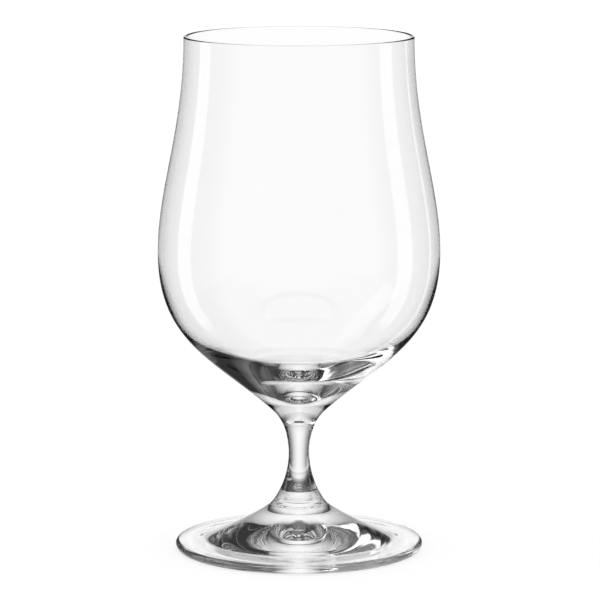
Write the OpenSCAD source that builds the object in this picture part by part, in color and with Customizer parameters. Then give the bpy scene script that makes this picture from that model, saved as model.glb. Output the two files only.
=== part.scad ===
// Stemmed water glass: a blown tulip bowl, a drawn stem and a spun foot, fused at two flat seams.
// Each piece is turned about +Z from an outline of cubic curves in the (radius, height) plane.
// Sizes are in millimetres, and the origin is the centre of the ring that stands on the table.

/* [Bowl] */
// Height of the bowl, from its seam on the stem to the crest of the rim
bowl_h = 117; // [100:1:135]
// Outer diameter at the rim
rim_d = 68.6; // [60:0.2:76]
// Wall at the rim, which is fire-polished to a half round
rim_wall = 1; // [0.8:0.1:2]
// Outer diameter at the belly, the widest place
belly_d = 84.6; // [78:0.2:96]
// Height of the belly above the bowl's seam
belly_h = 52.2; // [46:0.2:60]
// Wall at the belly
belly_wall = 1.3; // [1:0.1:2.5]
// Outer diameter at the hip, where the thin wall turns into the heavy base
hip_d = 53.8; // [46:0.2:60]
// Wall at the hip
hip_wall = 3.1; // [2:0.05:3.6]
// Slope of the inside at the hip, in degrees from level
hip_slope = 29.5; // [24:0.5:34]
// Glass under the lowest point of the inside, down to the bowl's seam
base_t = 10; // [8.8:0.1:11.6]
// Height of the neck, where the bowl's underside sweeps in to the seam
neck_h = 6; // [4:0.2:8]
// Diameter at the top of the neck
neck_d = 20; // [16:0.2:24]
// Splay of the bowl's underside at the top of the neck, in degrees from the axis
neck_splay = 49.3; // [42:0.1:56]

/* [Stem] */
// Height of the stem between its two seams
stem_h = 24.6; // [18:0.2:40]
// Diameter at the waist, the thinnest place
waist_d = 6.2; // [5:0.1:9]
// Height of the waist above the foot's seam
waist_h = 15.6; // [10:0.2:17]
// Diameter of the seam between bowl and stem
bowl_seam_d = 9.8; // [9.2:0.1:13]
// Splay of the outline at that seam, in degrees from the axis
bowl_seam_splay = 27; // [15:0.5:40]

/* [Foot] */
// Height of the foot, from the table to its seam under the stem
foot_h = 13.4; // [10:0.2:18]
// Outer diameter of the foot
foot_d = 74.7; // [66:0.1:86]
// Thickness of the foot at its rounded edge
edge_t = 2.6; // [2:0.1:4]
// Diameter of the seam between stem and foot
foot_seam_d = 17.2; // [14:0.2:22]
// Splay of the outline at that seam, in degrees from the axis
foot_seam_splay = 47; // [35:0.5:60]
// Diameter at which the flare has run out into the flat plate
plate_d = 58.5; // [48:0.5:62]
// Rise of the plate from its edge to the start of the flare
plate_rise = 0.3; // [0.1:0.1:1.5]
// Width of the flat ring that stands on the table
ring_w = 3; // [1.5:0.5:6]
// Height of the conical hollow under the foot, at its centre
hollow_h = 5.9; // [3:0.1:7]

/* [Hidden] */

// Steps along each curve of an outline
curve_steps = 36;
// Steps round the half circle of a rounded edge
edge_steps = 12;
// Halvings with which a place on a curve is found
halvings = 30;
// Fullness of each curve: how far its two handles reach, as shares of the curve's own height
shoulder_fullness = [0.30, 0.42];
underside_fullness = [0.55, 0.325];
neck_fullness = [0.40, 0.43];
stem_top_fullness = [0.35, 0.22];
stem_base_fullness = [0.54, 0.067];
// Fullness of the inside from belly to hip: down the wall, and up the slope of the hip
inner_wall_fullness = [0.46, 0.37];
// Fullness of the inside from hip to bottom, as shares of the hip's radius: down its slope, and out along the bottom
inner_base_fullness = [0.64, 0.21];
// Fullness of the foot's flare: down from the seam, and in from the plate
flare_fullness = [0.28, 0.15];
// Fullness of the hollow under the foot: in from the ring, and out from the centre
hollow_fullness = [0.125, 0.10];

// Heights at which the pieces stack
foot_seam_z = foot_h;
bowl_seam_z = foot_seam_z + stem_h;

// Glass colour
clear_glass = [0.93, 0.95, 0.95, 0.35];

// Unit step up an outline that leans out from the axis by an angle
function lean(angle) = [tan(angle), 1];

// Point at share t of the cubic curve with end points p[0] and p[3], and handle points p[1] and p[2]
function cubic(p, t) =
    pow(1 - t, 3) * p[0] + 3 * pow(1 - t, 2) * t * p[1] + 3 * (1 - t) * t * t * p[2] + pow(t, 3) * p[3];

// Step of one millimetre along that curve at share t
function heading(p, t) =
    let (step = pow(1 - t, 2) * (p[1] - p[0]) + 2 * (1 - t) * t * (p[2] - p[1]) + t * t * (p[3] - p[2]))
    step / norm(step);

// Share at which a curve that runs outwards reaches radius r
function share_at(p, r, low = 0, high = 1, left = halvings) =
    let (middle = (low + high) / 2)
    left == 0 ? middle
        : cubic(p, middle)[0] < r ? share_at(p, r, middle, high, left - 1)
        : share_at(p, r, low, middle, left - 1);

// The curve's points after its start, so that curves join without doubled points
function curve_on(p) = [for (i = [1 : curve_steps]) cubic(p, i / curve_steps)];

// The arc's points after its start, about a centre, between two angles
function arc_on(centre, r, from, to) =
    [for (i = [1 : edge_steps]) let (angle = from + (to - from) * i / edge_steps)
        centre + r * [cos(angle), sin(angle)]];

// A solid turned from an outline
module turned(outline) {
    rotate_extrude($fn = 180) polygon(outline);
}

// Tulip bowl, thin from the rim to the hip and heavy below it
module bowl() {
    seam = [bowl_seam_d / 2, 0];
    neck = [neck_d / 2, neck_h];
    belly = [belly_d / 2, belly_h];
    rim = [rim_d / 2, bowl_h - rim_wall / 2];
    underside_h = belly_h - neck_h;
    shoulder_h = rim[1] - belly_h;
    neck_curve = [
        seam, seam + neck_fullness[0] * neck_h * lean(bowl_seam_splay),
        neck - neck_fullness[1] * neck_h * lean(neck_splay), neck];
    underside = [
        neck, neck + underside_fullness[1] * underside_h * lean(neck_splay),
        belly - [0, underside_fullness[0] * underside_h], belly];
    shoulder = [
        belly, belly + [0, shoulder_fullness[0] * shoulder_h],
        rim - [0, shoulder_fullness[1] * shoulder_h], rim];

    inner_rim = rim - [rim_wall, 0];
    inner_belly = belly - [belly_wall, 0];
    hip_share = share_at(underside, hip_d / 2);
    hip_heading = heading(underside, hip_share);
    hip = cubic(underside, hip_share) + hip_wall * [-hip_heading[1], hip_heading[0]];
    hip_step = [cos(hip_slope), sin(hip_slope)];
    bottom = [0, base_t];
    inner_wall_h = belly_h - hip[1];
    inner_shoulder = [
        inner_rim, inner_rim - [0, shoulder_fullness[1] * shoulder_h],
        inner_belly + [0, shoulder_fullness[0] * shoulder_h], inner_belly];
    inner_wall = [
        inner_belly, inner_belly - [0, inner_wall_fullness[0] * inner_wall_h],
        hip + inner_wall_fullness[1] * inner_wall_h * hip_step, hip];
    inner_base = [
        hip, hip - inner_base_fullness[0] * hip[0] * hip_step,
        bottom + [inner_base_fullness[1] * hip[0], 0], bottom];

    outside = concat([[0, 0], seam], curve_on(neck_curve), curve_on(underside), curve_on(shoulder));
    rim_round = arc_on(rim - [rim_wall / 2, 0], rim_wall / 2, 0, 180);
    inside = concat(curve_on(inner_shoulder), curve_on(inner_wall), curve_on(inner_base));
    color(clear_glass) translate([0, 0, bowl_seam_z]) turned(concat(outside, rim_round, inside));
}

// Solid stem, drawn in to a waist between its two seams
module stem() {
    foot_end = [foot_seam_d / 2, 0];
    waist = [waist_d / 2, waist_h];
    bowl_end = [bowl_seam_d / 2, stem_h];
    top_h = stem_h - waist_h;
    base_curve = [
        foot_end, foot_end + stem_base_fullness[1] * waist_h * lean(-foot_seam_splay),
        waist - [0, stem_base_fullness[0] * waist_h], waist];
    top_curve = [
        waist, waist + [0, stem_top_fullness[0] * top_h],
        bowl_end - stem_top_fullness[1] * top_h * lean(bowl_seam_splay), bowl_end];
    color(clear_glass) translate([0, 0, foot_seam_z])
        turned(concat([[0, 0], foot_end], curve_on(base_curve), curve_on(top_curve), [[0, stem_h]]));
}

// Spun foot: a flat plate with a rounded edge, a flare up to the stem and a conical hollow below
module foot() {
    edge_r = edge_t / 2;
    edge_centre = [foot_d / 2 - edge_r, edge_r];
    ring_inside = [edge_centre[0] - ring_w, 0];
    hollow_top = [0, hollow_h];
    plate = [plate_d / 2, edge_t + plate_rise];
    plate_lean = [edge_centre[0] - plate[0], -plate_rise];
    seam = [foot_seam_d / 2, foot_h];
    flare_h = foot_h - plate[1];
    hollow = [
        hollow_top, hollow_top + [hollow_fullness[1] * ring_inside[0], 0],
        ring_inside - [hollow_fullness[0] * ring_inside[0], 0], ring_inside];
    flare = [
        plate, plate - flare_fullness[1] * (plate[0] - seam[0]) / plate_lean[0] * plate_lean,
        seam - flare_fullness[0] * flare_h * lean(-foot_seam_splay), seam];
    underneath = concat([hollow_top], curve_on(hollow), [[edge_centre[0], 0]]);
    edge = arc_on(edge_centre, edge_r, -90, 90);
    color(clear_glass) turned(concat(underneath, edge, [plate], curve_on(flare), [[0, foot_h]]));
}

bowl();
stem();
foot();
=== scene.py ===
"""Stemmed water glass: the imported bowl, stem and foot dressed in clear glass, on a white studio floor."""
import logging
import math
from dataclasses import dataclass
from enum import Enum
from typing import NamedTuple, Optional

import bpy
from bpy.types import Camera, Material, Mesh, Node, NodeOutputs, NodeSocket, NodeTree, Object, World
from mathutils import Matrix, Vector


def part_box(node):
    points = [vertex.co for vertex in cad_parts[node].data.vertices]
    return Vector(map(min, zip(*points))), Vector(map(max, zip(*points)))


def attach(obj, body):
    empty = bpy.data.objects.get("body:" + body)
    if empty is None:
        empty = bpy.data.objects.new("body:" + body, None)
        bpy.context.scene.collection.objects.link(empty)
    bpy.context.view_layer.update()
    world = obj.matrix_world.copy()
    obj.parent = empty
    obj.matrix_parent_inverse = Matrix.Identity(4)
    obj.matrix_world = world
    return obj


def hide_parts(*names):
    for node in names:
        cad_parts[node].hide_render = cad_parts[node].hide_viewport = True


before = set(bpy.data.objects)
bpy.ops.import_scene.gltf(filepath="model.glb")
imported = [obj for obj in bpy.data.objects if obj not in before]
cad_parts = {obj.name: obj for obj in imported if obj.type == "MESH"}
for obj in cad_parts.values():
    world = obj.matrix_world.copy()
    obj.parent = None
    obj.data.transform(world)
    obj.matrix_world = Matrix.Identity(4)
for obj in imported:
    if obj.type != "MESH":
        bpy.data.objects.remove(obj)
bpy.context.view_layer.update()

LOG = logging.getLogger("water_glass")
MM = 0.001
BODY = "root"
# Length of the narrow faces beside a rounded edge, which keep its shading off the wall, in millimetres
LAND = 0.08
# Reach of the two handles that draw a quarter circle as one cubic curve, as a share of its radius
QUARTER_REACH = 0.5523
# Halvings with which a place on a curve is found
HALVINGS = 40
# Turns that the renderer follows a ray for, and clear faces that it lets a ray pass
RAY_TURNS = 24
CLEAR_FACES = 32
WHITE = (1.0, 1.0, 1.0, 1.0)


class Side(Enum):
    """What a stretch of an outline is on the finished glass."""

    WALL = "wall"
    FUSED = "fused"


class Point(NamedTuple):
    """A place on an outline, or a step along one, in millimetres."""

    radius: float
    height: float

    def moved(self, step: "Point", share: float = 1.0) -> "Point":
        """The point after a share of a step."""
        return Point(self.radius + share * step.radius, self.height + share * step.height)


UP = Point(0.0, 1.0)
OUT = Point(1.0, 0.0)


@dataclass(frozen=True)
class Stretch:
    """One cubic curve of an outline, which is turned about the axis.

    The glass lies to the left of the curve's direction, with the radius to the right and the height upwards.
    """

    name: str
    start: Point
    leave: Point
    arrive: Point
    end: Point
    steps: int
    side: Side = Side.WALL

    def at(self, share: float) -> Point:
        """Point of the curve.

        Args:
            share: how far along its parameter the point lies, from 0 to 1.

        Returns:
            The point.
        """
        rest = 1.0 - share
        weights = (rest ** 3, 3 * rest ** 2 * share, 3 * rest * share ** 2, share ** 3)
        points = (self.start, self.leave, self.arrive, self.end)
        return Point(
            sum(w * p.radius for w, p in zip(weights, points)),
            sum(w * p.height for w, p in zip(weights, points)),
        )

    def heading(self, share: float) -> Point:
        """Direction of the curve.

        Args:
            share: how far along its parameter the direction is taken, from 0 to 1.

        Returns:
            A step of one millimetre.
        """
        near = 1e-4
        before, after = self.at(share - near), self.at(share + near)
        run, rise = after.radius - before.radius, after.height - before.height
        length = math.hypot(run, rise)
        return Point(run / length, rise / length)

    def share_at_radius(self, radius: float) -> float:
        """Place at which a curve that runs outwards reaches a radius.

        Args:
            radius: the radius, in millimetres.

        Returns:
            The place, as a share of the curve's parameter.
        """
        low, high = 0.0, 1.0
        for _ in range(HALVINGS):
            middle = (low + high) / 2
            if self.at(middle).radius < radius:
                low = middle
            else:
                high = middle
        return (low + high) / 2


def lean(angle: float) -> Point:
    """Step of one millimetre up an outline that leans out from the axis by an angle in degrees."""
    return Point(math.tan(math.radians(angle)), 1.0)


def straight(name: str, start: Point, end: Point, steps: int, side: Side = Side.WALL) -> Stretch:
    """A straight stretch.

    Args:
        name: what the stretch is on the glass.
        start: its first point.
        end: its last point.
        steps: faces along it.
        side: what it is on the finished glass.

    Returns:
        The stretch, with handles a third of the way along.
    """
    third = Point((end.radius - start.radius) / 3, (end.height - start.height) / 3)
    return Stretch(name, start, start.moved(third), end.moved(third, -1), end, steps, side)


def half_round(name: str, centre: Point, radius: float, start_angle: float, steps: int) -> list[Stretch]:
    """A half circle in two quarters, turning to the left.

    Args:
        name: what the rounding is on the glass.
        centre: its middle.
        radius: its radius, in millimetres.
        start_angle: direction from the centre to its start, in degrees.
        steps: faces along each quarter.

    Returns:
        The two stretches.
    """
    quarters = []
    for order, label in enumerate(("first", "second")):
        ends = []
        for angle in (start_angle + 90 * order, start_angle + 90 * (order + 1)):
            turn = math.radians(angle)
            out = Point(radius * math.cos(turn), radius * math.sin(turn))
            along = Point(-radius * math.sin(turn), radius * math.cos(turn))
            ends.append((centre.moved(out), along))
        (start, along_start), (end, along_end) = ends
        leave, arrive = start.moved(along_start, QUARTER_REACH), end.moved(along_end, -QUARTER_REACH)
        quarters.append(Stretch(f"{name} {label}", start, leave, arrive, end, steps))
    return quarters


class NodeKit:
    """Short calls that add nodes to one tree and link them."""

    # Places of the factor, the two inputs and the result on a Mix node, for numbers and for colours
    MIX_NUMBERS = (0, 2, 3, 0)
    MIX_COLOURS = (0, 6, 7, 2)

    def __init__(self, tree: NodeTree) -> None:
        """Keeps the tree that the nodes go into."""
        self.tree = tree

    def add(self, kind: str, **settings: object) -> Node:
        """Adds a node.

        Args:
            kind: the node's type name.
            settings: its properties, by name.

        Returns:
            The new node.
        """
        node = self.tree.nodes.new(kind)
        for name, value in settings.items():
            setattr(node, name, value)
        return node

    def feed(self, socket: NodeSocket, value: object) -> None:
        """Links a socket to another, or sets it to a plain value.

        Args:
            socket: the input socket.
            value: an output socket, or a number, colour or name that the socket takes.
        """
        if isinstance(value, NodeSocket):
            self.tree.links.new(value, socket)
        else:
            socket.default_value = value

    def join(self, kind: str, *values: object, **settings: object) -> NodeSocket:
        """Adds a node and feeds its inputs in order.

        Args:
            kind: the node's type name.
            values: its inputs, as sockets or plain values.
            settings: its properties, by name.

        Returns:
            The node's first result.
        """
        node = self.add(kind, **settings)
        for socket, value in zip(node.inputs, values):
            self.feed(socket, value)
        return node.outputs[0]

    def math(self, operation: str, *values: object, clamp: bool = False) -> NodeSocket:
        """Result of a Math node for sockets or numbers, held between 0 and 1 if it is clamped."""
        return self.join("ShaderNodeMath", *values, operation=operation, use_clamp=clamp)

    def glow(self, strength: object) -> NodeSocket:
        """A shader that glows white with a strength, as a socket or a number."""
        return self.join("ShaderNodeEmission", WHITE, strength)

    def both(self, one: NodeSocket, other: NodeSocket) -> NodeSocket:
        """The sum of two shaders."""
        return self.join("ShaderNodeAddShader", one, other)

    def choose(self, share: NodeSocket, one: NodeSocket, other: NodeSocket) -> NodeSocket:
        """A shader that lies a share of the way from one to another."""
        return self.join("ShaderNodeMixShader", share, one, other)

    def mix(self, share: object, low: object, high: object, colours: bool = False) -> NodeSocket:
        """A number or colour between two.

        Args:
            share: how far it lies from the first to the second.
            low: the first.
            high: the second.
            colours: whether they are colours.

        Returns:
            The number or colour.
        """
        node = self.add("ShaderNodeMix", data_type="RGBA" if colours else "FLOAT")
        factor, first, second, result = self.MIX_COLOURS if colours else self.MIX_NUMBERS
        self.feed(node.inputs[factor], share)
        self.feed(node.inputs[first], low)
        self.feed(node.inputs[second], high)
        return node.outputs[result]

    def ramp(self, value: object, low: float, high: float) -> NodeSocket:
        """A smooth step from 0 to 1.

        Args:
            value: what is measured.
            low: where the step starts.
            high: where the step ends.

        Returns:
            The step's height.
        """
        node = self.add("ShaderNodeMapRange", interpolation_type="SMOOTHSTEP")
        self.feed(node.inputs["Value"], value)
        node.inputs["From Min"].default_value = low
        node.inputs["From Max"].default_value = high
        return node.outputs["Result"]


def placed(name: str, data: Mesh | Camera) -> Object:
    """Puts a new object into the scene.

    Args:
        name: its name.
        data: its mesh or camera.

    Returns:
        The object.
    """
    made = bpy.data.objects.new(name, data)
    bpy.context.scene.collection.objects.link(made)
    return made


class TurnedTree:
    """Geometry nodes that turn an outline about the vertical axis into a closed skin."""

    # Radius of the circle that the outline is swept along; the outline is set back by as much
    AXIS_RADIUS = 1 * MM
    MERGE_DISTANCE = 0.001 * MM
    SOCKETS = ("Start", "Start Handle", "End Handle", "End")

    def __init__(self, name: str, stretches: list[Stretch], glass: Material, seam: Material) -> None:
        """Builds the tree.

        Args:
            name: the piece's name.
            stretches: the outline, in order.
            glass: material of the walls.
            seam: material of the fused faces.
        """
        self.name = name
        self.stretches = stretches
        self.tree = bpy.data.node_groups.new(f"turned_{name}", "GeometryNodeTree")
        self.kit = NodeKit(self.tree)
        self._add_inputs()
        skin, fused = self._skin()
        self._dress(skin, fused, glass, seam)

    def _add_inputs(self) -> None:
        """Adds the tree's result and its named inputs."""
        interface = self.tree.interface
        interface.new_socket(name="Skin", in_out="OUTPUT", socket_type="NodeSocketGeometry")
        interface.new_socket(name="Segments", in_out="INPUT", socket_type="NodeSocketInt")
        for stretch in self.stretches:
            for socket in self.SOCKETS:
                interface.new_socket(
                    name=f"{stretch.name} {socket}", in_out="INPUT", socket_type="NodeSocketVector")
            interface.new_socket(name=f"{stretch.name} Steps", in_out="INPUT", socket_type="NodeSocketInt")

    def _skin(self) -> tuple[NodeSocket, NodeSocket]:
        """Turns all stretches and closes them into one skin.

        Returns:
            The skin, and the mark of its fused faces.
        """
        kit = self.kit
        given = kit.add("NodeGroupInput").outputs
        circle = kit.add("GeometryNodeCurvePrimitiveCircle", mode="RADIUS")
        kit.feed(circle.inputs["Resolution"], given["Segments"])
        kit.feed(circle.inputs["Radius"], self.AXIS_RADIUS)
        joined = kit.add("GeometryNodeJoinGeometry")
        fused = None
        for stretch in self.stretches:
            turned = self._turn(stretch, given, circle.outputs["Curve"])
            if stretch.side is Side.FUSED:
                turned, mark = self._mark(turned)
                if fused is not None:
                    mark = kit.join("FunctionNodeBooleanMath", fused, mark, operation="OR")
                fused = mark
            self.tree.links.new(turned, joined.inputs[0])
        merged = self._then("GeometryNodeMergeByDistance", joined.outputs[0], Distance=self.MERGE_DISTANCE)
        flipped = kit.add("GeometryNodeFlipFaces")
        kit.feed(flipped.inputs["Mesh"], merged)
        return flipped.outputs["Mesh"], fused

    def _then(self, kind: str, skin: NodeSocket, **inputs: object) -> NodeSocket:
        """Adds a node that a skin passes through.

        Args:
            kind: the node's type name.
            skin: the skin before it.
            inputs: the node's other inputs, by name.

        Returns:
            The skin after it.
        """
        node = self.kit.add(kind)
        self.kit.feed(node.inputs["Geometry"], skin)
        for name, value in inputs.items():
            self.kit.feed(node.inputs[name], value)
        return node.outputs["Geometry"]

    def _turn(self, stretch: Stretch, given: NodeOutputs, circle: NodeSocket) -> NodeSocket:
        """Sweeps one stretch round the axis.

        Args:
            stretch: the stretch.
            given: the tree's inputs.
            circle: the circle that it is swept along.

        Returns:
            The skin of the stretch.
        """
        kit = self.kit
        curve = kit.add("GeometryNodeCurvePrimitiveBezierSegment", mode="POSITION")
        for socket in self.SOCKETS:
            kit.feed(curve.inputs[socket], given[f"{stretch.name} {socket}"])
        kit.feed(curve.inputs["Resolution"], given[f"{stretch.name} Steps"])
        back, upright = (-self.AXIS_RADIUS, 0.0, 0.0), (math.pi / 2, 0.0, 0.0)
        laid = self._then(
            "GeometryNodeTransform", curve.outputs["Curve"], Translation=back, Rotation=upright)
        swept = kit.add("GeometryNodeCurveToMesh")
        kit.feed(swept.inputs["Curve"], circle)
        kit.feed(swept.inputs["Profile Curve"], laid)
        return swept.outputs["Mesh"]

    def _mark(self, skin: NodeSocket) -> tuple[NodeSocket, NodeSocket]:
        """Marks a skin's faces as fused.

        Args:
            skin: the skin.

        Returns:
            The same skin, and its mark.
        """
        node = self.kit.add("GeometryNodeCaptureAttribute", domain="FACE")
        node.capture_items.new("BOOLEAN", "Fused")
        self.kit.feed(node.inputs["Geometry"], skin)
        node.inputs["Fused"].default_value = True
        return node.outputs["Geometry"], node.outputs["Fused"]

    def _dress(self, skin: NodeSocket, fused: NodeSocket, glass: Material, seam: Material) -> None:
        """Shades the skin, gives it its materials and ends the tree.

        Args:
            skin: the closed skin.
            fused: the mark of its fused faces.
            glass: material of the walls.
            seam: material of the fused faces.
        """
        smooth = self._then("GeometryNodeSetShadeSmooth", skin)
        flat = self._then("GeometryNodeSetShadeSmooth", smooth, Selection=fused, **{"Shade Smooth": False})
        realized = self._then("GeometryNodeRealizeInstances", flat)
        walls = self._then("GeometryNodeSetMaterial", realized, Material=glass)
        seams = self._then("GeometryNodeSetMaterial", walls, Selection=fused, Material=seam)
        result = self.kit.add("NodeGroupOutput")
        self.kit.feed(result.inputs["Skin"], seams)

    def piece(self, segments: int) -> Object:
        """Runs the tree.

        Args:
            segments: faces round the axis.

        Returns:
            A plain mesh object at the origin, with no modifier left.
        """
        carrier = placed(f"{self.name}_carrier", bpy.data.meshes.new(f"{self.name}_carrier"))
        modifier = carrier.modifiers.new("Turned", "NODES")
        modifier.node_group = self.tree
        values: dict[str, object] = {"Segments": segments}
        for stretch in self.stretches:
            points = (stretch.start, stretch.leave, stretch.arrive, stretch.end)
            for socket, point in zip(self.SOCKETS, points):
                values[f"{stretch.name} {socket}"] = (point.radius * MM, 0.0, point.height * MM)
            values[f"{stretch.name} Steps"] = stretch.steps
        for item in self.tree.interface.items_tree:
            if item.in_out == "INPUT":
                modifier[item.identifier] = values[item.name]
        graph = bpy.context.evaluated_depsgraph_get()
        mesh = bpy.data.meshes.new_from_object(carrier.evaluated_get(graph))
        bpy.data.objects.remove(carrier)
        mesh.name = self.name
        return placed(self.name, mesh)


@dataclass(frozen=True)
class GlassCords:
    """The faint cords that working it leaves in glass, as a shader group that every piece shares."""

    name: str = "glass_cords"
    scale: float = 60.0
    pale_tint: tuple[float, float, float] = (1.0, 1.0, 1.0)
    deep_tint: tuple[float, float, float] = (0.985, 0.988, 0.985)

    def group(self) -> NodeTree:
        """The cords as a node group, built once.

        Returns:
            The group, whose results are a tint and a height.
        """
        made = bpy.data.node_groups.get(self.name)
        if made is not None:
            return made
        made = bpy.data.node_groups.new(self.name, "ShaderNodeTree")
        made.interface.new_socket(name="Tint", in_out="OUTPUT", socket_type="NodeSocketColor")
        made.interface.new_socket(name="Height", in_out="OUTPUT", socket_type="NodeSocketFloat")
        kit = NodeKit(made)
        place = kit.add("ShaderNodeTexCoord")
        cords = kit.add("ShaderNodeTexNoise")
        kit.feed(cords.inputs["Vector"], place.outputs["Object"])
        kit.feed(cords.inputs["Scale"], self.scale)
        pale, deep = (*self.pale_tint, 1.0), (*self.deep_tint, 1.0)
        result = kit.add("NodeGroupOutput").inputs
        kit.feed(result["Tint"], kit.mix(cords.outputs["Fac"], pale, deep, colours=True))
        kit.feed(result["Height"], cords.outputs["Fac"])
        return made


class GlassNodes(NamedTuple):
    """The nodes of a finish that the marks of a piece's own work join on to."""

    kit: NodeKit
    shader: Node
    place: NodeSocket
    axes: NodeOutputs
    normal: NodeSocket


@dataclass(frozen=True)
class ClearGlass:
    """Clear soda-lime glass. Metres."""

    name: str = "clear_glass"
    refraction: float = 1.52
    cord_height: float = 0.002 * MM

    def material(self) -> Material:
        """Makes the finish.

        Returns:
            The finish as a node material.
        """
        made = bpy.data.materials.new(self.name)
        made.use_nodes = True
        kit = NodeKit(made.node_tree)
        shader = made.node_tree.nodes["Principled BSDF"]
        cords = kit.add("ShaderNodeGroup", node_tree=GlassCords().group())
        normal = self._bump(kit, cords.outputs["Height"], self.cord_height)
        kit.feed(shader.inputs["Base Color"], cords.outputs["Tint"])
        kit.feed(shader.inputs["Normal"], normal)
        kit.feed(shader.inputs["Roughness"], 0.0)
        kit.feed(shader.inputs["IOR"], self.refraction)
        kit.feed(shader.inputs["Transmission Weight"], 1.0)
        place = kit.add("ShaderNodeTexCoord").outputs["Object"]
        split = kit.add("ShaderNodeSeparateXYZ")
        kit.feed(split.inputs[0], place)
        self._work(GlassNodes(kit, shader, place, split.outputs, normal))
        return made

    def _bump(
        self, kit: NodeKit, height: NodeSocket, depth: float, normal: Optional[NodeSocket] = None
    ) -> NodeSocket:
        """Bends a normal by a height.

        Args:
            kit: the material's nodes.
            height: the height, from 0 to 1.
            depth: what a height of 1 is, in metres.
            normal: the normal that is bent, if it isn't the mesh's own.

        Returns:
            The bent normal.
        """
        bump = kit.add("ShaderNodeBump")
        kit.feed(bump.inputs["Distance"], depth)
        kit.feed(bump.inputs["Height"], height)
        if normal is not None:
            kit.feed(bump.inputs["Normal"], normal)
        return bump.outputs["Normal"]

    def _work(self, nodes: GlassNodes) -> None:
        """Adds the marks of one piece's own work. Plain glass has none."""


@dataclass(frozen=True)
class BlownGlass(ClearGlass):
    """The bowl's glass, whose thin wall has the fine wear of washing. Metres."""

    name: str = "blown_glass"
    worn_from: float = 63 * MM
    worn_full: float = 68 * MM
    worn_roughness: float = 0.03

    def _work(self, nodes: GlassNodes) -> None:
        """Wears the wall above the heavy base.

        Args:
            nodes: the nodes of the finish.
        """
        kit = nodes.kit
        worn = kit.ramp(nodes.axes["Z"], self.worn_from, self.worn_full)
        kit.feed(nodes.shader.inputs["Roughness"], kit.math("MULTIPLY", worn, self.worn_roughness))


@dataclass(frozen=True)
class DrawnGlass(ClearGlass):
    """The stem's glass, with the rings that the tool left above the foot. Metres."""

    name: str = "drawn_glass"
    ring_low: float = 13.4 * MM
    ring_high: float = 17.3 * MM
    ring_fade: float = 0.5 * MM
    ring_step: float = 0.8 * MM
    ring_depth: float = 0.009 * MM
    stray_scale: float = 220.0
    stray: float = 5.0

    def _work(self, nodes: GlassNodes) -> None:
        """Rings the lower stem.

        Args:
            nodes: the nodes of the finish.
        """
        kit = nodes.kit
        height = nodes.axes["Z"]
        noise = kit.add("ShaderNodeTexNoise")
        kit.feed(noise.inputs["Vector"], nodes.place)
        kit.feed(noise.inputs["Scale"], self.stray_scale)
        turn = kit.math("MULTIPLY", height, 2 * math.pi / self.ring_step)
        turn = kit.math("ADD", turn, kit.math("MULTIPLY", noise.outputs["Fac"], self.stray))
        above = kit.ramp(height, self.ring_low, self.ring_low + self.ring_fade)
        below = kit.ramp(height, self.ring_high + self.ring_fade, self.ring_high)
        rings = kit.math("MULTIPLY", kit.math("SINE", turn), kit.math("MULTIPLY", above, below))
        bent = self._bump(kit, rings, self.ring_depth, nodes.normal)
        kit.feed(nodes.shader.inputs["Normal"], bent)


@dataclass(frozen=True)
class SpunGlass(ClearGlass):
    """The foot's glass, with the faint rings of spinning it out. Metres."""

    name: str = "spun_glass"
    ring_step: float = 2.4 * MM
    ring_depth: float = 0.001 * MM

    def _work(self, nodes: GlassNodes) -> None:
        """Rings the foot about its axis.

        Args:
            nodes: the nodes of the finish.
        """
        kit = nodes.kit
        across, along = (kit.math("POWER", nodes.axes[axis], 2.0) for axis in "XY")
        reach = kit.math("SQRT", kit.math("ADD", across, along))
        rings = kit.math("SINE", kit.math("MULTIPLY", reach, 2 * math.pi / self.ring_step))
        bent = self._bump(kit, rings, self.ring_depth, nodes.normal)
        kit.feed(nodes.shader.inputs["Normal"], bent)


@dataclass(frozen=True)
class FusedSeam:
    """The inside of a seam, where fused glass has no surface to see."""

    name: str = "fused_seam"

    def material(self) -> Material:
        """Makes the finish.

        Returns:
            The finish as a node material, clear throughout.
        """
        made = bpy.data.materials.new(self.name)
        made.use_nodes = True
        kit = NodeKit(made.node_tree)
        shader = made.node_tree.nodes["Principled BSDF"]
        cords = kit.add("ShaderNodeGroup", node_tree=GlassCords().group())
        kit.feed(shader.inputs["Base Color"], cords.outputs["Tint"])
        kit.feed(shader.inputs["Alpha"], 0.0)
        return made


@dataclass
class TurnedPiece:
    """A piece of glass turned about the axis, with segments round it and steps along each stretch."""

    node: str
    segments: int = 256
    seam_steps: int = 4
    land_steps: int = 1

    def outline(self) -> list[Stretch]:
        """The piece's outline, in the heights of the frame."""
        raise NotImplementedError

    def base(self) -> float:
        """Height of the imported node's lowest point, in millimetres."""
        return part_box(self.node)[0].z / MM

    def top(self) -> float:
        """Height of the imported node's highest point, in millimetres."""
        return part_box(self.node)[1].z / MM

    def build(self, glass: Material, seam: Material) -> Object:
        """Makes the piece and puts it in the place of its node.

        Args:
            glass: material of the walls.
            seam: material of the fused faces.

        Returns:
            The finished piece.
        """
        piece = TurnedTree(f"glass_{self.node}", self.outline(), glass, seam).piece(self.segments)
        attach(piece, BODY)
        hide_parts(self.node)
        return piece


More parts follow.
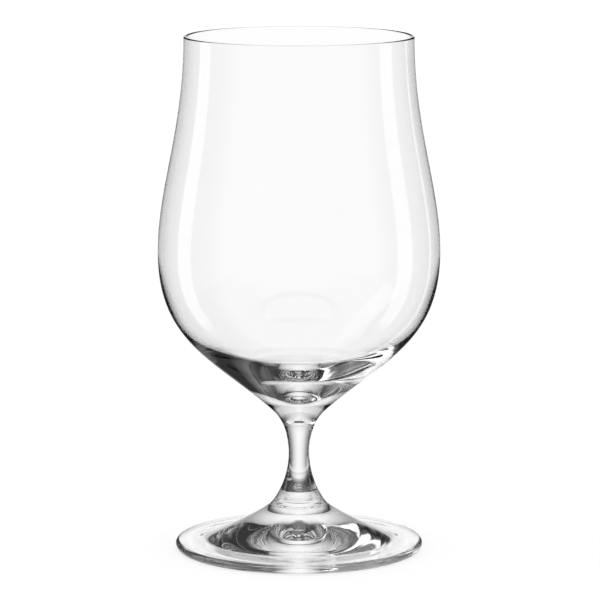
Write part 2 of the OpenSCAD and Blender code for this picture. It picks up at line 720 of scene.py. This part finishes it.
@dataclass
class Bowl(TurnedPiece):
    """Tulip bowl, thin from the rim to the hip and heavy below it.

    Sizes are in millimetres and degrees. A fullness is how far the two handles of a curve reach, as shares
    of its height, or of the hip's radius in the base.
    """

    node: str = "bowl"
    rim_d: float = 68.6
    rim_wall: float = 1.0
    belly_d: float = 84.6
    belly_h: float = 52.2
    belly_wall: float = 1.3
    hip_d: float = 53.8
    hip_wall: float = 3.1
    hip_slope: float = 29.5
    base_t: float = 10.0
    neck_h: float = 6.0
    neck_d: float = 20.0
    neck_splay: float = 49.3
    seam_d: float = 9.8
    seam_splay: float = 27.0
    shoulder_fullness: tuple[float, float] = (0.30, 0.42)
    underside_fullness: tuple[float, float] = (0.55, 0.325)
    neck_fullness: tuple[float, float] = (0.40, 0.43)
    inner_wall_fullness: tuple[float, float] = (0.46, 0.37)
    inner_base_fullness: tuple[float, float] = (0.64, 0.21)
    neck_steps: int = 24
    wall_steps: int = 44
    base_steps: int = 48
    rim_steps: int = 10

    def outline(self) -> list[Stretch]:
        """The bowl's outline.

        Returns:
            Its stretches: seam, outside, rim and inside.
        """
        base = self.base()
        seam = Point(self.seam_d / 2, base)
        rim = Point(self.rim_d / 2, self.top() - self.rim_wall / 2)
        inner_rim = rim.moved(OUT, -self.rim_wall)
        rim_centre = rim.moved(OUT, -self.rim_wall / 2)
        neck, underside, shoulder = self._outside(seam, rim)
        return [
            straight("Seam", Point(0.0, base), seam, self.seam_steps, Side.FUSED),
            neck, underside, shoulder,
            straight("Rim Land", shoulder.end, rim, self.land_steps),
            *half_round("Rim", rim_centre, self.rim_wall / 2, 0.0, self.rim_steps),
            straight("Inner Rim Land", inner_rim, inner_rim.moved(UP, -LAND), self.land_steps),
            *self._inside(underside, inner_rim),
        ]

    def _belly(self) -> Point:
        """The widest place of the outside."""
        return Point(self.belly_d / 2, self.base() + self.belly_h)

    def _outside(self, seam: Point, rim: Point) -> tuple[Stretch, Stretch, Stretch]:
        """The outside of the bowl.

        Args:
            seam: the edge of the seam.
            rim: where the rim's rounding starts.

        Returns:
            The neck, the underside and the shoulder.
        """
        neck = Point(self.neck_d / 2, seam.height + self.neck_h)
        seam_lean, neck_lean = lean(self.seam_splay), lean(self.neck_splay)
        belly = self._belly()
        rim_low = rim.moved(UP, -LAND)
        under_h = belly.height - neck.height
        shoulder_h = rim.height - belly.height
        return (
            Stretch("Neck", seam, seam.moved(seam_lean, self.neck_fullness[0] * self.neck_h),
                    neck.moved(neck_lean, -self.neck_fullness[1] * self.neck_h), neck, self.neck_steps),
            Stretch("Underside", neck, neck.moved(neck_lean, self.underside_fullness[1] * under_h),
                    belly.moved(UP, -self.underside_fullness[0] * under_h), belly, self.base_steps),
            Stretch("Shoulder", belly, belly.moved(UP, self.shoulder_fullness[0] * shoulder_h),
                    rim_low.moved(UP, -self.shoulder_fullness[1] * shoulder_h), rim_low, self.wall_steps),
        )

    def _inside(self, underside: Stretch, inner_rim: Point) -> tuple[Stretch, Stretch, Stretch]:
        """The inside of the bowl, whose hip is set in from the outside.

        Args:
            underside: the stretch of the outside that the hip lies on.
            inner_rim: where the rim's rounding ends.

        Returns:
            The inner shoulder, the inner wall and the inner base.
        """
        hip_share = underside.share_at_radius(self.hip_d / 2)
        along = underside.heading(hip_share)
        hip = underside.at(hip_share).moved(Point(-along.height, along.radius), self.hip_wall)
        slope = math.radians(self.hip_slope)
        hip_step = Point(math.cos(slope), math.sin(slope))
        rim_low = inner_rim.moved(UP, -LAND)
        belly = self._belly().moved(OUT, -self.belly_wall)
        bottom = Point(0.0, self.base() + self.base_t)
        shoulder_h = inner_rim.height - belly.height
        wall_h = belly.height - hip.height
        return (
            Stretch("Inner Shoulder", rim_low, rim_low.moved(UP, -self.shoulder_fullness[1] * shoulder_h),
                    belly.moved(UP, self.shoulder_fullness[0] * shoulder_h), belly, self.wall_steps),
            Stretch("Inner Wall", belly, belly.moved(UP, -self.inner_wall_fullness[0] * wall_h),
                    hip.moved(hip_step, self.inner_wall_fullness[1] * wall_h), hip, self.wall_steps),
            Stretch("Inner Base", hip, hip.moved(hip_step, -self.inner_base_fullness[0] * hip.radius),
                    bottom.moved(OUT, self.inner_base_fullness[1] * hip.radius), bottom, self.base_steps),
        )


@dataclass
class Stem(TurnedPiece):
    """Solid stem, drawn in to a waist between its two seams.

    Sizes are in millimetres and degrees. A fullness is how far the two handles of a curve reach, as shares
    of its height.
    """

    node: str = "stem"
    waist_d: float = 6.2
    waist_h: float = 15.6
    bowl_seam_d: float = 9.8
    bowl_seam_splay: float = 27.0
    foot_seam_d: float = 17.2
    foot_seam_splay: float = 47.0
    top_fullness: tuple[float, float] = (0.35, 0.22)
    base_fullness: tuple[float, float] = (0.54, 0.067)
    top_steps: int = 40
    flare_steps: int = 48

    def outline(self) -> list[Stretch]:
        """The stem's outline.

        Returns:
            Its stretches: foot seam, wall and bowl seam.
        """
        base, top = self.base(), self.top()
        foot_end = Point(self.foot_seam_d / 2, base)
        waist = Point(self.waist_d / 2, base + self.waist_h)
        bowl_end = Point(self.bowl_seam_d / 2, top)
        top_h = top - waist.height
        foot_lean, bowl_lean = lean(-self.foot_seam_splay), lean(self.bowl_seam_splay)
        return [
            straight("Foot Seam", Point(0.0, base), foot_end, self.seam_steps, Side.FUSED),
            Stretch("Flare", foot_end, foot_end.moved(foot_lean, self.base_fullness[1] * self.waist_h),
                    waist.moved(UP, -self.base_fullness[0] * self.waist_h), waist, self.flare_steps),
            Stretch("Top", waist, waist.moved(UP, self.top_fullness[0] * top_h),
                    bowl_end.moved(bowl_lean, -self.top_fullness[1] * top_h), bowl_end, self.top_steps),
            straight("Bowl Seam", bowl_end, Point(0.0, top), self.seam_steps, Side.FUSED),
        ]


@dataclass
class Foot(TurnedPiece):
    """Spun foot: a plate with a rounded edge, a flare and a conical hollow.

    Sizes are in millimetres and degrees. A fullness is how far the two handles of a curve reach, as shares
    of its width, or of its height at the seam.
    """

    node: str = "foot"
    foot_d: float = 74.7
    edge_t: float = 2.6
    seam_d: float = 17.2
    seam_splay: float = 47.0
    plate_d: float = 58.5
    plate_rise: float = 0.3
    ring_w: float = 3.0
    hollow_h: float = 5.9
    flare_fullness: tuple[float, float] = (0.28, 0.15)
    hollow_fullness: tuple[float, float] = (0.125, 0.10)
    ring_steps: int = 6
    edge_steps: int = 16
    flare_steps: int = 64

    def outline(self) -> list[Stretch]:
        """The foot's outline.

        Returns:
            Its stretches: hollow, resting ring, edge, plate, flare and seam.
        """
        base, top = self.base(), self.top()
        edge_r = self.edge_t / 2
        edge = Point(self.foot_d / 2 - edge_r, base + edge_r)
        edge_low = Point(edge.radius, base)
        edge_high = Point(edge.radius, base + self.edge_t)
        ring_inside = Point(edge.radius - self.ring_w, base)
        ring_end = edge_low.moved(OUT, -LAND)
        hollow_top = Point(0.0, base + self.hollow_h)
        plate = Point(self.plate_d / 2, edge_high.height + self.plate_rise)
        plate_lean = Point(1.0, -self.plate_rise / (edge.radius - plate.radius))
        plate_start = edge_high.moved(plate_lean, -LAND)
        seam = Point(self.seam_d / 2, top)
        flare_w, flare_h = plate.radius - seam.radius, top - plate.height
        hollow_w = ring_inside.radius
        seam_lean = lean(-self.seam_splay)
        steps = self.flare_steps
        return [
            Stretch("Hollow", hollow_top, hollow_top.moved(OUT, self.hollow_fullness[1] * hollow_w),
                    ring_inside.moved(OUT, -self.hollow_fullness[0] * hollow_w), ring_inside, steps),
            straight("Ring", ring_inside, ring_end, self.ring_steps),
            straight("Ring Land", ring_end, edge_low, self.land_steps),
            *half_round("Edge", edge, edge_r, -90.0, self.edge_steps),
            straight("Plate Land", edge_high, plate_start, self.land_steps),
            straight("Plate", plate_start, plate, self.edge_steps),
            Stretch("Flare", plate, plate.moved(plate_lean, -self.flare_fullness[1] * flare_w),
                    seam.moved(seam_lean, -self.flare_fullness[0] * flare_h), seam, steps),
            straight("Stem Seam", seam, Point(0.0, top), self.seam_steps, Side.FUSED),
        ]


class Patch(NamedTuple):
    """A bright patch of the studio: degrees round from straight behind the glass, and up from level."""

    azimuth: float
    half_width: float
    high: float
    soft: float
    level: float
    low: Optional[float] = None


# What the solid glass shows of the studio, from the sweep behind it round both sides to the front
SWEEP = Patch(azimuth=0, half_width=27, high=70, soft=27, level=1.0)
LEFT_BOX_FOOT = Patch(azimuth=-80, half_width=16, high=10, soft=3, level=1.6)
LEFT_BOX = Patch(azimuth=-82, half_width=12, high=44, soft=3, level=1.6)
LEFT_BOX_TOP = Patch(azimuth=-82, half_width=11, high=60, soft=3, level=0.8)
LEFT_WALL = Patch(azimuth=-60, half_width=45, high=26, soft=8, level=0.16)
LEFT_CARD = Patch(azimuth=-45, half_width=13, low=16, high=34, soft=8, level=0.5)
RIGHT_WALL = Patch(azimuth=75, half_width=45, high=34, soft=8, level=0.04)
RIGHT_CARD = Patch(azimuth=100, half_width=18, high=12, soft=8, level=0.2)
FRONT_CARD = Patch(azimuth=135, half_width=15, low=14, high=28, soft=6, level=0.5)
FRONT_WALL = Patch(azimuth=180, half_width=30, high=38, soft=12, level=0.45)
# What the outside of the glass mirrors
BACK_GLINT = Patch(azimuth=0, half_width=8, high=64, soft=6, level=1.0)
LEFT_GLINT = Patch(azimuth=-73, half_width=9, high=42, soft=1.5, level=1.5)
RIGHT_GLINT = Patch(azimuth=84, half_width=9, high=42, soft=1.5, level=1.5)
RIGHT_STREAK = Patch(azimuth=46, half_width=2.5, high=70, soft=1.0, level=0.9)
FRONT_FILL = Patch(azimuth=180, half_width=72, high=85, soft=12, level=0.9)


@dataclass(frozen=True)
class StudioMap:
    """What the glass sees round it, as a shader group. Degrees."""

    name: str = "studio_round"
    dark: float = 0.02
    level_edge: float = 6.0
    through: tuple[Patch, ...] = (
        SWEEP, LEFT_BOX_FOOT, LEFT_BOX, LEFT_BOX_TOP, LEFT_WALL, LEFT_CARD, RIGHT_WALL, RIGHT_CARD,
        FRONT_CARD, FRONT_WALL)
    mirrored: tuple[Patch, ...] = (BACK_GLINT, LEFT_GLINT, RIGHT_GLINT, RIGHT_STREAK, FRONT_FILL)

    def group(self) -> NodeTree:
        """The map as a node group.

        Returns:
            The group, which gives the brightness seen through the glass and mirrored by it in a direction.
        """
        made = bpy.data.node_groups.new(self.name, "ShaderNodeTree")
        for label in ("Azimuth", "Elevation"):
            made.interface.new_socket(name=label, in_out="INPUT", socket_type="NodeSocketFloat")
        for label in ("Through", "Mirrored"):
            made.interface.new_socket(name=label, in_out="OUTPUT", socket_type="NodeSocketFloat")
        kit = NodeKit(made)
        given = kit.add("NodeGroupInput").outputs
        result = kit.add("NodeGroupOutput").inputs
        for label, patches in (("Through", self.through), ("Mirrored", self.mirrored)):
            kit.feed(result[label], self._seen(kit, given["Azimuth"], given["Elevation"], patches))
        return made

    def _seen(
        self, kit: NodeKit, turn: NodeSocket, rise: NodeSocket, patches: tuple[Patch, ...]
    ) -> NodeSocket:
        """Brightness in a direction.

        Args:
            kit: the group's nodes.
            turn: the direction's azimuth, in radians.
            rise: the direction's elevation, in radians.
            patches: the bright patches.

        Returns:
            The level of the brightest patch there.
        """
        total: object = self.dark
        edge = math.radians(self.level_edge)
        for patch in patches:
            off = kit.math("SUBTRACT", turn, math.radians(patch.azimuth))
            off = kit.math("ABSOLUTE", kit.math("WRAP", off, math.pi, -math.pi))
            half, soft = math.radians(patch.half_width), math.radians(patch.soft)
            high = math.radians(patch.high)
            beside, below = kit.ramp(off, half + soft, half - soft), kit.ramp(rise, high + edge, high - edge)
            bright = kit.math("MULTIPLY", beside, below)
            if patch.low is not None:
                low = math.radians(patch.low)
                bright = kit.math("MULTIPLY", bright, kit.ramp(rise, low - edge, low + edge))
            total = kit.math("MAXIMUM", total, kit.math("MULTIPLY", bright, patch.level))
        return total


class RayPath:
    """What a ray has met on its way from the camera, told by a Light Path node.

    A ray crosses each wall of the bowl in two faces. The worn wall is the only glass that isn't quite sharp,
    and that tells which rays left through it.
    """

    # Margin with which whole counts are compared
    MARGIN = 0.5
    # Most turns of a ray that the first wall lets through or sends back
    ONE_WALL_TURNS = 3
    # Least crossings and most turns of a ray that two walls let through or send back
    TWO_WALL_CROSSINGS = 3
    TWO_WALL_TURNS = 6
    # Crossings and turns of a ray that the near face of the far wall sends back out through the near wall
    SENT_BACK_CROSSINGS = 4
    SENT_BACK_TURNS = 5
    # Least crossings of a ray that the far face of the far wall sends back
    ROUND_TRIP_CROSSINGS = 6

    def __init__(self, kit: NodeKit, last_turn: int) -> None:
        """Adds the Light Path node.

        Args:
            kit: the nodes of the material or world.
            last_turn: 1 in a world, which counts as one more turn there, and 0 on a surface.
        """
        self.kit = kit
        self.last_turn = last_turn
        self.told = kit.add("ShaderNodeLightPath").outputs

    def crossed(self, count: int) -> NodeSocket:
        """1 for a ray that has crossed at least so many faces."""
        return self.kit.math("GREATER_THAN", self.told["Transmission Depth"], count - self.MARGIN)

    def turned_at_most(self, count: int) -> NodeSocket:
        """1 for a ray that has been turned so many times or fewer."""
        return self.kit.math("LESS_THAN", self.told["Ray Depth"], count + self.last_turn + self.MARGIN)

    def worn_exit(self) -> NodeSocket:
        """1 for a ray that left the glass through the worn wall."""
        return self.kit.math(
            "SUBTRACT", self.told["Is Transmission Ray"], self.told["Is Singular Ray"], clamp=True)

    def thin(self, counts: NodeSocket) -> NodeSocket:
        """1 for a ray that met thin walls alone, and 0 for one that solid glass has turned.

        Args:
            counts: share of the rays through two walls that count.

        Returns:
            The test.
        """
        kit = self.kit
        two = kit.math(
            "MULTIPLY", self.crossed(self.TWO_WALL_CROSSINGS), self.turned_at_most(self.TWO_WALL_TURNS))
        one = kit.math("MULTIPLY", self.worn_exit(), self.turned_at_most(self.ONE_WALL_TURNS))
        return kit.math("MAXIMUM", kit.math("MULTIPLY", two, counts), one)

    def sent_back(self) -> NodeSocket:
        """1 for a ray that the near face of the far wall sent back.

        Returns:
            The test.
        """
        kit = self.kit
        turns = self.SENT_BACK_TURNS + self.last_turn
        turned = kit.math("COMPARE", self.told["Ray Depth"], turns, self.MARGIN)
        crossed = kit.math("COMPARE", self.told["Transmission Depth"], self.SENT_BACK_CROSSINGS, self.MARGIN)
        return kit.math("MULTIPLY", turned, crossed)

    def round_trip(self) -> NodeSocket:
        """1 for a ray that the far face of the far wall sent back."""
        return self.kit.math("MULTIPLY", self.crossed(self.ROUND_TRIP_CROSSINGS), self.worn_exit())


@dataclass(frozen=True)
class StudioWalls:
    """The walls above the floor: white to the camera, and behind thin glass up to a height. Degrees."""

    studio: StudioMap
    white_to: float = 12.0
    white_end: float = 22.0

    def world(self) -> World:
        """Builds the walls.

        Returns:
            The walls as a world.
        """
        made = bpy.data.worlds.new("studio_walls")
        made.use_nodes = True
        made.node_tree.nodes.clear()
        kit = NodeKit(made.node_tree)
        place = kit.add("ShaderNodeTexCoord")
        split = kit.add("ShaderNodeSeparateXYZ")
        kit.feed(split.inputs[0], place.outputs["Generated"])
        x, y, z = split.outputs
        rise = kit.math("ARCSINE", z)
        seen = kit.add("ShaderNodeGroup", node_tree=self.studio.group())
        kit.feed(seen.inputs["Azimuth"], kit.math("ARCTAN2", x, y))
        kit.feed(seen.inputs["Elevation"], rise)
        path = RayPath(kit, last_turn=1)
        low = kit.ramp(rise, math.radians(self.white_end), math.radians(self.white_to))
        solid = kit.mix(path.crossed(1), seen.outputs["Mirrored"], seen.outputs["Through"])
        solid = kit.mix(kit.math("MULTIPLY", path.round_trip(), low), solid, FRONT_WALL.level)
        reach = kit.math("MAXIMUM", low, path.sent_back())
        by_glass = kit.mix(kit.math("MULTIPLY", path.thin(path.worn_exit()), reach), solid, 1.0)
        strength = kit.mix(path.told["Is Glossy Ray"], 1.0, by_glass)
        result = kit.add("ShaderNodeOutputWorld")
        kit.feed(result.inputs["Surface"], kit.join("ShaderNodeBackground", WHITE, strength))
        return made


@dataclass(frozen=True)
class StudioFloor:
    """A wide white floor that keeps the shadow of the glass and, to solid glass, is polished.

    Lengths are in metres. A facing is 0 for a ray straight down and 1 for a level one.
    """

    radius: float = 4.0
    sides: int = 96
    drop: float = 0.2 * MM
    glow: float = 0.78
    matt: float = 0.25
    polish: float = 0.97
    # Strength of the painted glow near the foot, which stands in for the table lit there
    painted_table_glow: float = 0.02
    foot_edge: float = 36.0 * MM
    foot_clear: float = 37.2 * MM
    top_near: float = 40 * MM
    top_far: float = 48 * MM
    foot_near: float = 45 * MM
    foot_far: float = 60 * MM
    steep_facing: float = 0.45
    flat_facing: float = 0.7
    # Share of the painted white glow that steep rays see in a ring beside the foot
    painted_steep_glow: float = 0.5

    def build(self) -> Object:
        """Lays the floor.

        Returns:
            The floor.
        """
        turns = [2 * math.pi * side / self.sides for side in range(self.sides)]
        ring = [(self.radius * math.cos(turn), self.radius * math.sin(turn), -self.drop) for turn in turns]
        mesh = bpy.data.meshes.new("floor")
        mesh.from_pydata(ring, [], [tuple(range(self.sides))])
        mesh.materials.append(self._material())
        made = placed("floor", mesh)
        return made

    def _material(self) -> Material:
        """Makes the finish.

        Returns:
            White paper to the camera, white behind thin glass, and to solid glass a polished table with
            painted glows beside and near the foot.
        """
        made = bpy.data.materials.new("floor_white")
        made.use_nodes = True
        made.node_tree.nodes.clear()
        kit = NodeKit(made.node_tree)
        path = RayPath(kit, last_turn=0)
        place = kit.add("ShaderNodeTexCoord")
        length = kit.add("ShaderNodeVectorMath", operation="LENGTH")
        kit.feed(length.inputs[0], place.outputs["Object"])
        reach = length.outputs["Value"]
        clear = kit.ramp(reach, self.foot_near, self.foot_far)
        outside = kit.math("SUBTRACT", 1.0, path.crossed(1))
        on_top = kit.math("MULTIPLY", outside, kit.ramp(reach, self.top_far, self.top_near))
        thin = kit.math("MAXIMUM", path.thin(clear), on_top)
        white = kit.glow(1.0)
        table = kit.choose(self._steep(kit, reach, clear), self._polished(kit, clear), white)
        front = kit.math("MULTIPLY", path.round_trip(), clear)
        table = kit.choose(front, table, kit.glow(FRONT_WALL.level))
        by_glass = kit.choose(thin, table, white)
        seen = kit.choose(path.told["Is Camera Ray"], by_glass, self._paper(kit))
        result = kit.add("ShaderNodeOutputMaterial")
        kit.feed(result.inputs["Surface"], seen)
        return made

    def _steep(self, kit: NodeKit, reach: NodeSocket, clear: NodeSocket) -> NodeSocket:
        """Share of painted white glow, which stands in for the lit table, that a steep ray sees right beside
        the foot.

        Args:
            kit: the material's nodes.
            reach: distance from the axis.
            clear: 1 away from the foot.

        Returns:
            The share.
        """
        facing = kit.add("ShaderNodeLayerWeight").outputs["Facing"]
        steep = kit.ramp(facing, self.flat_facing, self.steep_facing)
        beside = kit.math("SUBTRACT", kit.ramp(reach, self.foot_edge, self.foot_clear), clear)
        # Painted light: a ring of white glow right beside the foot, for steep rays
        return kit.math("MULTIPLY", kit.math("MULTIPLY", beside, steep), self.painted_steep_glow)

    def _polished(self, kit: NodeKit, clear: NodeSocket) -> NodeSocket:
        """The polished table, with a faint painted glow near the foot that stands in for the table lit
        there.

        Args:
            kit: the material's nodes.
            clear: 1 away from the foot.

        Returns:
            The shader.
        """
        mirror = kit.add("ShaderNodeBsdfGlossy")
        kit.feed(mirror.inputs["Color"], (self.polish, self.polish, self.polish, 1.0))
        kit.feed(mirror.inputs["Roughness"], 0.0)
        # Painted light: a faint glow near the foot, which stands in for the table lit there
        painted_table_glow = kit.glow(kit.math("MULTIPLY", kit.math("SUBTRACT", 1.0, clear), self.painted_table_glow))
        return kit.both(mirror.outputs[0], painted_table_glow)

    def _paper(self, kit: NodeKit) -> NodeSocket:
        """White paper that takes the shadow, as a shader among a material's nodes."""
        matt = kit.join("ShaderNodeBsdfDiffuse", (self.matt, self.matt, self.matt, 1.0))
        return kit.both(kit.glow(self.glow), matt)


@dataclass(frozen=True)
class PhotoCamera:
    """The camera at the photograph's place. Metres and degrees, with the sensor and lens in millimetres."""

    distance: float = 1.0688
    height: float = 0.2474
    pitch: float = 9.1309
    sensor: float = 36.0
    lens: float = 216.54
    photo_width: int = 600
    pixels_right: float = 1.0
    farthest: float = 100.0

    def build(self) -> Object:
        """Sets the camera up.

        Returns:
            The camera, in use.
        """
        data = bpy.data.cameras.new("photo_camera")
        data.sensor_width = self.sensor
        data.lens = self.lens
        data.shift_x = self.pixels_right / self.photo_width
        data.clip_end = self.farthest
        made = placed("photo_camera", data)
        made.location = (0.0, -self.distance, self.height)
        made.rotation_euler = (math.radians(90 - self.pitch), 0.0, 0.0)
        bpy.context.scene.camera = made
        return made


def main() -> None:
    """Builds the studio and the glass."""
    logging.basicConfig(level=logging.INFO, format="%(name)s: %(message)s")
    scene = bpy.context.scene
    scene.view_settings.view_transform = "Standard"
    scene.cycles.max_bounces = RAY_TURNS
    scene.cycles.glossy_bounces = RAY_TURNS
    scene.cycles.transmission_bounces = RAY_TURNS
    scene.cycles.transparent_max_bounces = CLEAR_FACES
    PhotoCamera().build()
    scene.world = StudioWalls(StudioMap()).world()
    StudioFloor().build()
    seam = FusedSeam().material()
    for part, finish in ((Bowl(), BlownGlass()), (Stem(), DrawnGlass()), (Foot(), SpunGlass())):
        piece = part.build(finish.material(), seam)
        LOG.info("%s: %d faces", piece.name, len(piece.data.polygons))


if __name__ == "__main__":
    main()
